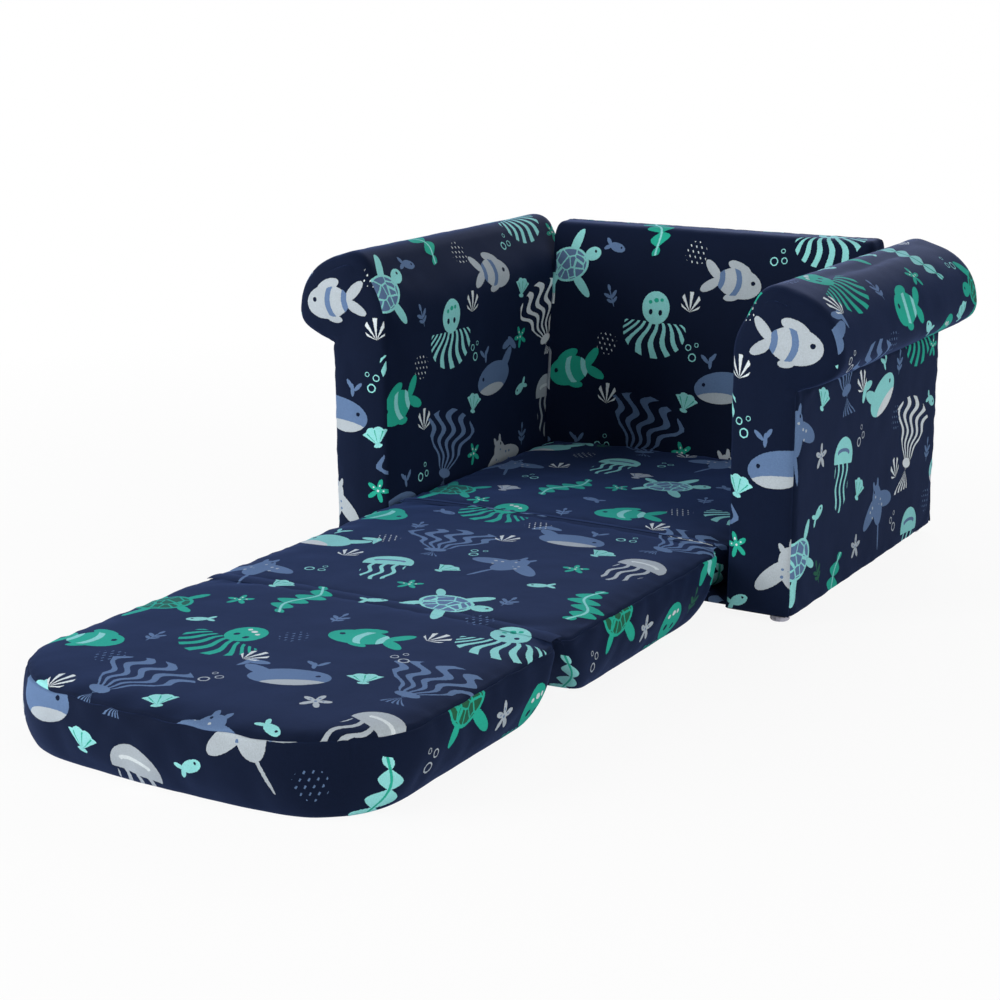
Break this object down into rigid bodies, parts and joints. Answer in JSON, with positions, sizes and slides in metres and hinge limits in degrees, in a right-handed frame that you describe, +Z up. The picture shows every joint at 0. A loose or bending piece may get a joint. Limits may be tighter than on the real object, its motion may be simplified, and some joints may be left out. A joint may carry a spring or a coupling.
{
  "type": "kids flip open sofa",
  "caption": "Low upholstered child's sofa with two rolled arms, whose folded three-panel seat flips open forward into a floor lounger.",
  "frame": {"origin": "on the floor under the middle of the open sofa", "axes": "+X to the sitter's left as seen from the front, +Y from the open foot end to the backrest, +Z up"},
  "size_m": [0.576, 0.9668, 0.3058],
  "materials": {
    "printed_velour": "short-pile velour, navy with a printed sea-life pattern in mint, teal, slate and grey",
    "lining_cloth": "thin non-woven lining, matt",
    "foam": "open-cell polyurethane foam",
    "wood": "raw plywood and battens",
    "foot_plastic": "pale grey moulded plastic",
    "steel": "plain screws"
  },
  "bodies": {
    "sofa_shell": {"right_arm_front_board": "wood", "right_arm_rear_board": "wood", "right_arm_foam": "foam", "right_arm_inner_board": "wood", "right_arm_outer_board": "wood", "right_arm_roll_rail": "wood", "right_arm_bottom_rail": "wood", "right_arm_wrap_cover": "printed_velour", "right_arm_outside_cover": "printed_velour", "right_arm_front_facing": "printed_velour", "right_arm_rear_facing": "printed_velour", "left_arm_front_board": "wood", "left_arm_rear_board": "wood", "left_arm_foam": "foam", "left_arm_inner_board": "wood", "left_arm_outer_board": "wood", "left_arm_roll_rail": "wood", "left_arm_bottom_rail": "wood", "left_arm_wrap_cover": "printed_velour", "left_arm_outside_cover": "printed_velour", "left_arm_front_facing": "printed_velour", "left_arm_rear_facing": "printed_velour", "back_cover": "printed_velour", "back_board": "wood", "back_foam": "foam", "back_bottom_rail": "wood", "back_top_rail": "wood", "back_outside_cover": "printed_velour", "base_board": "wood", "dust_cloth": "lining_cloth", "base_screw_1": "steel", "base_screw_2": "steel", "base_screw_3": "steel", "base_screw_4": "steel", "base_screw_5": "steel", "base_screw_6": "steel", "left_front_foot": "foot_plastic", "left_rear_foot": "foot_plastic", "right_front_foot": "foot_plastic", "right_rear_foot": "foot_plastic", "seat_pad_cover": "printed_velour", "seat_pad_foam": "foam", "seat_pad_bottom_cloth": "lining_cloth"},
    "hinge_band": {"seat_hinge_gusset": "printed_velour"},
    "mid_pad": {"mid_pad_cover": "printed_velour", "mid_pad_foam": "foam", "mid_pad_bottom_cloth": "printed_velour", "front_hinge_seam": "printed_velour"},
    "front_pad": {"front_pad_cover": "printed_velour", "front_pad_foam": "foam", "front_pad_bottom_cloth": "printed_velour"}
  },
  "joints": [
    {"name": "seat_flip_lower", "type": "hinge", "parent": "sofa_shell", "child": "hinge_band", "pos_m": [0, 0.1124, 0.0811], "axis": [-1, 0, 0], "range_deg": [0, 90]},
    {"name": "seat_flip_upper", "type": "hinge", "parent": "hinge_band", "child": "mid_pad", "pos_m": [0, 0.0924, 0.1011], "axis": [-1, 0, 0], "range_deg": [0, 90]},
    {"name": "front_fold", "type": "hinge", "parent": "mid_pad", "child": "front_pad", "pos_m": [0, -0.1876, 0.0673], "axis": [-1, 0, 0], "range_deg": [0, 180]}
  ],
  "couplings": [
    {"joint": "front_fold", "follows": "seat_flip_upper", "ratio": 2}
  ]
}
